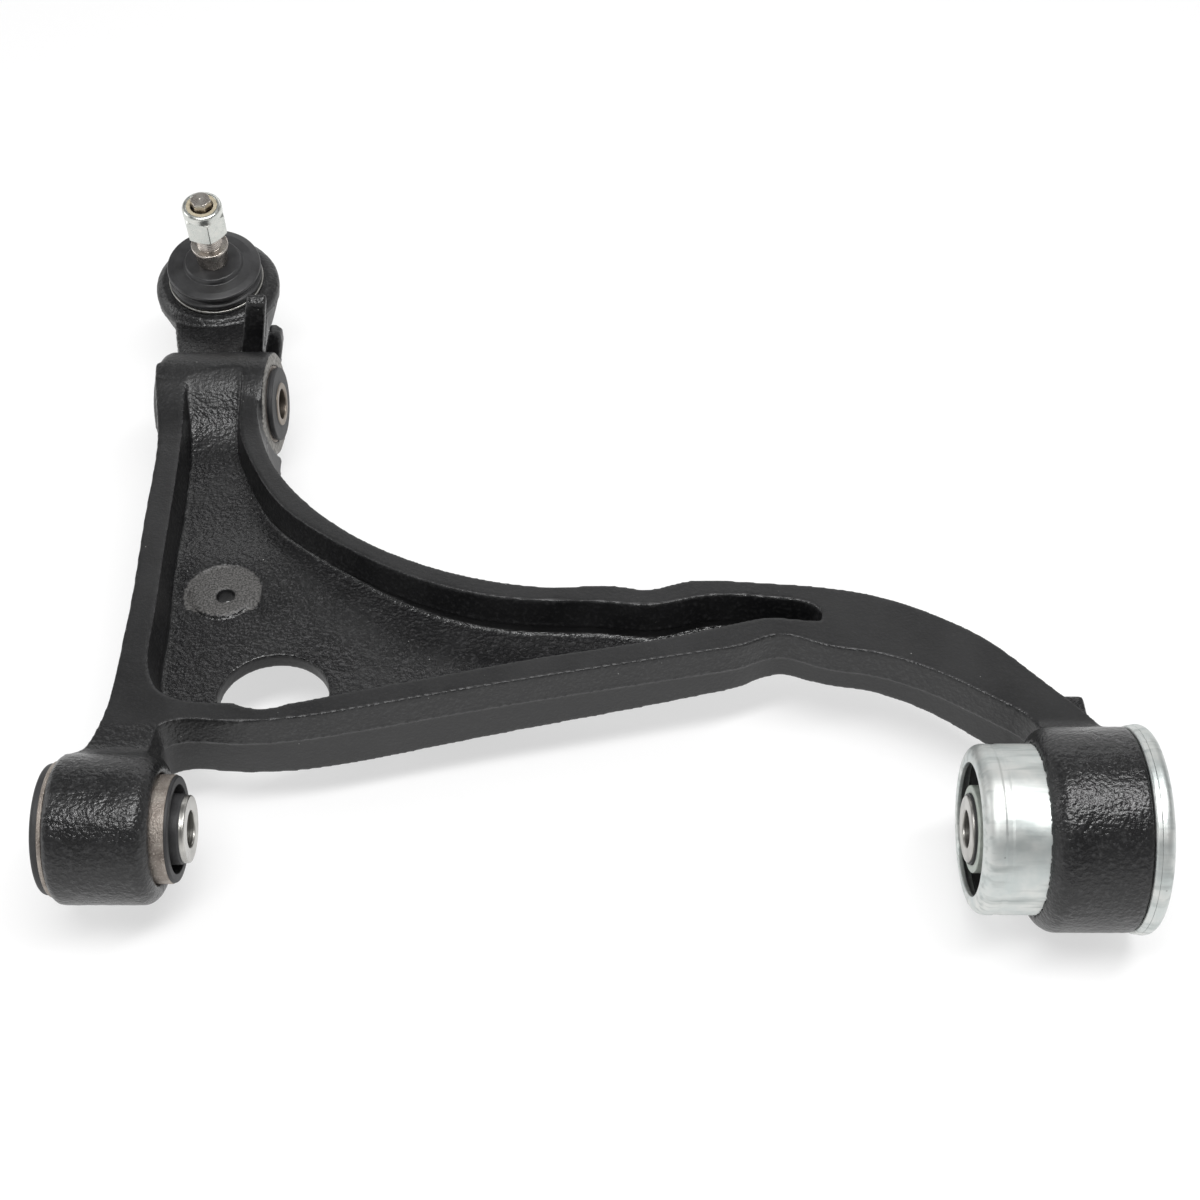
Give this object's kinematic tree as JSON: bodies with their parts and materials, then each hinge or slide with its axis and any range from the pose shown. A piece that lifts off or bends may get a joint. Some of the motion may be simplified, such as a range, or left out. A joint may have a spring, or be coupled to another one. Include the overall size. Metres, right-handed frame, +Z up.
{
  "type": "control arm",
  "caption": "Cast Y-shaped lower suspension control arm with pressed-in front, hydraulic rear and strut bushes, and a booted ball joint with its lock nut.",
  "frame": {"origin": "centre of the front bush bore", "axes": "+X along the pivot axis towards the rear hydraulic bush, +Y outboard towards the ball joint, +Z up towards the ball stud's nut"},
  "size_m": [0.5001, 0.4743, 0.1229],
  "materials": {
    "casting": "satin black coating over a cast surface",
    "raw_steel": "bare turned steel, dull brown-grey",
    "bright_steel": "machined and polished steel",
    "zinc": "bright zinc plating",
    "rubber": "matt black moulded rubber",
    "boot_rubber": "smooth satin black rubber",
    "core_alloy": "pale grey-green as-cast alloy",
    "seat_plastic": "off-white acetal",
    "channel_plastic": "black glass-filled nylon",
    "lock_nylon": "beige nylon"
  },
  "bodies": {
    "arm": {"arm_casting": "casting", "front_bush_outer_sleeve": "raw_steel", "front_bush_rubber": "rubber", "rear_bush_outer_can": "zinc", "rear_bush_end_ring": "zinc", "rear_bush_channel_ring": "channel_plastic", "rear_bush_rubber": "rubber", "strut_bush_outer_sleeve": "raw_steel", "strut_bush_rubber": "rubber", "ball_bearing_shell": "seat_plastic", "ball_preload_ring": "seat_plastic", "ball_cover_plate": "zinc", "boot_clamp_ring": "bright_steel"},
    "front_core": {"front_bush_inner_sleeve": "bright_steel"},
    "rear_core": {"rear_bush_core": "core_alloy", "rear_bush_inner_sleeve": "bright_steel", "rear_bush_sleeve_skin": "rubber"},
    "strut_core": {"strut_bush_inner_sleeve": "bright_steel"},
    "boot": {"ball_boot": "boot_rubber"},
    "boot_lip": {"boot_lip_ring": "bright_steel"},
    "stud": {"ball_stud": "bright_steel"},
    "nut": {"ball_nut": "zinc", "nut_lock_insert": "lock_nylon"}
  },
  "joints": [
    {"name": "front_bush_twist", "type": "hinge", "parent": "arm", "child": "front_core", "pos_m": [0, 0, 0], "axis": [1, 0, 0], "range_deg": [-20, 20], "stiffness_Nm_per_rad": 60},
    {"name": "rear_bush_twist", "type": "hinge", "parent": "arm", "child": "rear_core", "pos_m": [0.411, 0, 0], "axis": [1, 0, 0], "range_deg": [-20, 20], "stiffness_Nm_per_rad": 60},
    {"name": "strut_bush_twist", "type": "hinge", "parent": "arm", "child": "strut_core", "pos_m": [0, 0.2957, -0.0027], "axis": [0.9973, -0.0551, 0.0488], "range_deg": [-15, 15], "stiffness_Nm_per_rad": 60},
    {"name": "ball_tilt_inboard", "type": "hinge", "parent": "arm", "child": "boot", "pos_m": [-0.0126, 0.3956, -0.0012], "axis": [0.9993, 0.009, -0.0369], "range_deg": [-18, 18], "deforming": ["ball_boot"]},
    {"name": "ball_tilt_endways", "type": "hinge", "parent": "boot", "child": "boot_lip", "pos_m": [-0.0126, 0.3956, -0.0012], "axis": [0, 0.9715, 0.2369], "range_deg": [-18, 18]},
    {"name": "stud_spin", "type": "hinge", "parent": "boot_lip", "child": "stud", "pos_m": [-0.0126, 0.3956, -0.0012], "axis": [0.038, -0.2367, 0.9708], "continuous": true},
    {"name": "nut_unscrew", "type": "slide", "parent": "stud", "child": "nut", "axis": [0.038, -0.2367, 0.9708], "range_m": [0, 0.038]}
  ],
  "couplings": [
    {"joint": "rear_bush_twist", "follows": "front_bush_twist", "ratio": 1}
  ]
}
